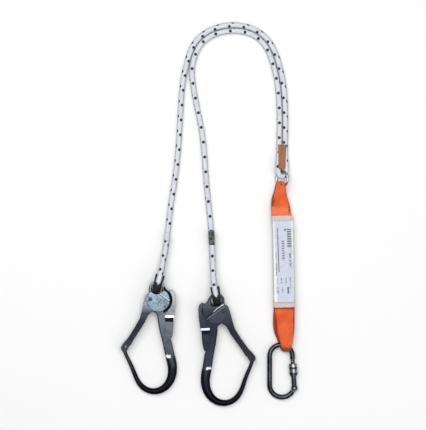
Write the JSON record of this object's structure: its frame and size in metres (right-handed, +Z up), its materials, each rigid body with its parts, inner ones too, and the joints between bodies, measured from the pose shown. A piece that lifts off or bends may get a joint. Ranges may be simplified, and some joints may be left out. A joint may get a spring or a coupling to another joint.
{
  "type": "shock absorbing lanyard",
  "caption": "Twin-leg rope lanyard with a large scaffold hook on each leg and a tear-webbing shock absorber that ends in a screw-gate carabiner.",
  "frame": {"origin": "on the surface the lanyard lies on, under the middle of its hardware (hooks, ring, absorber and carabiner)", "axes": "+Z up from the surface; the lanyard's long direction lies along Y, with the rope's arch towards +Y and the carabiner and hook bends towards -Y; the absorber is on the +X side"},
  "size_m": [0.332, 0.7223, 0.0368],
  "materials": {
    "rope": "braided polyamide, white with dark tracers",
    "thimble": "moulded black plastic",
    "stitching": "sewn orange-brown thread",
    "tail_band": "dark shrink band",
    "hook_forging": "zinc plated forged steel",
    "hook_sheet": "zinc plated pressed steel",
    "rivet": "plated steel",
    "spring_steel": "spring wire",
    "ring_steel": "plated steel",
    "webbing_orange": "woven orange polyester webbing",
    "webbing_white": "woven white polyester webbing",
    "webbing_thread": "dark sewing thread",
    "clear_sleeve": "clear shrink film",
    "label": "printed card",
    "carabiner_steel": "dark plated steel",
    "sleeve_steel": "bright knurled steel"
  },
  "bodies": {
    "rope_set": {"rope": "rope", "thimble_left": "thimble", "thimble_right": "thimble", "centre_stitching": "stitching", "splice_stitching_left": "stitching", "splice_stitching_right": "stitching", "tail_band_left": "tail_band", "tail_band_right": "tail_band"},
    "hook_left": {"hook_left_body": "hook_forging", "hook_left_cheek_front": "hook_sheet", "hook_left_cheek_back": "hook_sheet", "hook_left_cheek_rivet": "rivet", "hook_left_gate_rivet": "rivet", "hook_left_gate_spring": "spring_steel", "hook_left_lever_rivet": "rivet", "hook_left_lever_spring": "spring_steel"},
    "hook_left_gate": {"hook_left_gate": "hook_sheet", "hook_left_latch_pin": "rivet"},
    "hook_left_lever": {"hook_left_lever": "hook_sheet"},
    "hook_right": {"hook_right_body": "hook_forging", "hook_right_cheek_front": "hook_sheet", "hook_right_cheek_back": "hook_sheet", "hook_right_cheek_rivet": "rivet", "hook_right_gate_rivet": "rivet", "hook_right_gate_spring": "spring_steel", "hook_right_lever_rivet": "rivet", "hook_right_lever_spring": "spring_steel"},
    "hook_right_gate": {"hook_right_gate": "hook_sheet", "hook_right_latch_pin": "rivet"},
    "hook_right_lever": {"hook_right_lever": "hook_sheet"},
    "ring": {"link_ring": "ring_steel"},
    "absorber": {"absorber_upper_loop": "webbing_orange", "absorber_lower_loop": "webbing_orange", "absorber_tear_webbing": "webbing_white", "absorber_upper_bartack": "webbing_thread", "absorber_lower_bartack": "webbing_thread", "absorber_clear_sleeve": "clear_sleeve", "absorber_label_card": "label"},
    "carabiner": {"carabiner_body": "carabiner_steel", "carabiner_hinge_rivet": "rivet"},
    "carabiner_gate": {"carabiner_gate": "carabiner_steel", "carabiner_latch_pin": "rivet", "carabiner_gate_spring": "spring_steel", "carabiner_gate_plunger": "rivet"},
    "screw_sleeve": {"carabiner_screw_sleeve": "sleeve_steel"}
  },
  "joints": [
    {"name": "hook_left_swing", "type": "hinge", "parent": "rope_set", "child": "hook_left", "pos_m": [-0.09657, 0.0092, 0.0184], "axis": [0.9613, -0.2756, 0], "range_deg": [-70, 70]},
    {"name": "hook_left_gate_open", "type": "hinge", "parent": "hook_left", "child": "hook_left_gate", "pos_m": [-0.11077, -0.01935, 0.01664], "axis": [0, -0.0616, 0.9981], "range_deg": [0, 40], "stiffness_Nm_per_rad": 0.25},
    {"name": "hook_left_lever_squeeze", "type": "hinge", "parent": "hook_left", "child": "hook_left_lever", "pos_m": [-0.07657, -0.08163, 0.0128], "axis": [0, -0.0616, 0.9981], "range_deg": [0, 3.2], "stiffness_Nm_per_rad": 0.4},
    {"name": "hook_right_swing", "type": "hinge", "parent": "rope_set", "child": "hook_right", "pos_m": [0.01263, -0.0134, 0.0184], "axis": [0.9877, 0.1564, 0], "range_deg": [-70, 70]},
    {"name": "hook_right_gate_open", "type": "hinge", "parent": "hook_right", "child": "hook_right_gate", "pos_m": [0.02636, -0.04124, 0.01664], "axis": [-0.0033, 0.0615, -0.9981], "range_deg": [0, 40], "stiffness_Nm_per_rad": 0.25},
    {"name": "hook_right_lever_squeeze", "type": "hinge", "parent": "hook_right", "child": "hook_right_lever", "pos_m": [-0.00443, -0.10528, 0.0128], "axis": [-0.0033, 0.0615, -0.9981], "range_deg": [0, 3.2], "stiffness_Nm_per_rad": 0.4},
    {"name": "ring_swing", "type": "hinge", "parent": "rope_set", "child": "ring", "pos_m": [0.13643, 0.2192, 0.0115], "axis": [0.766, 0, 0.6428], "range_deg": [-45, 45]},
    {"name": "absorber_swing", "type": "hinge", "parent": "ring", "child": "absorber", "pos_m": [0.13643, 0.1912, 0.0115], "axis": [0.766, 0, 0.6428], "range_deg": [-45, 45]},
    {"name": "carabiner_swing", "type": "hinge", "parent": "absorber", "child": "carabiner", "pos_m": [0.13463, -0.1062, 0.0115], "axis": [1, 0, 0], "range_deg": [-32, 32]},
    {"name": "carabiner_gate_open", "type": "hinge", "parent": "carabiner", "child": "carabiner_gate", "pos_m": [0.15973, -0.18754, 0.00645], "axis": [0, -0.0619, 0.9981], "range_deg": [0, 26], "stiffness_Nm_per_rad": 0.12},
    {"name": "screw_sleeve_slide", "type": "slide", "parent": "carabiner_gate", "child": "screw_sleeve", "axis": [-0.0654, 0.9959, 0.0618], "range_m": [0, 0.008]}
  ]
}
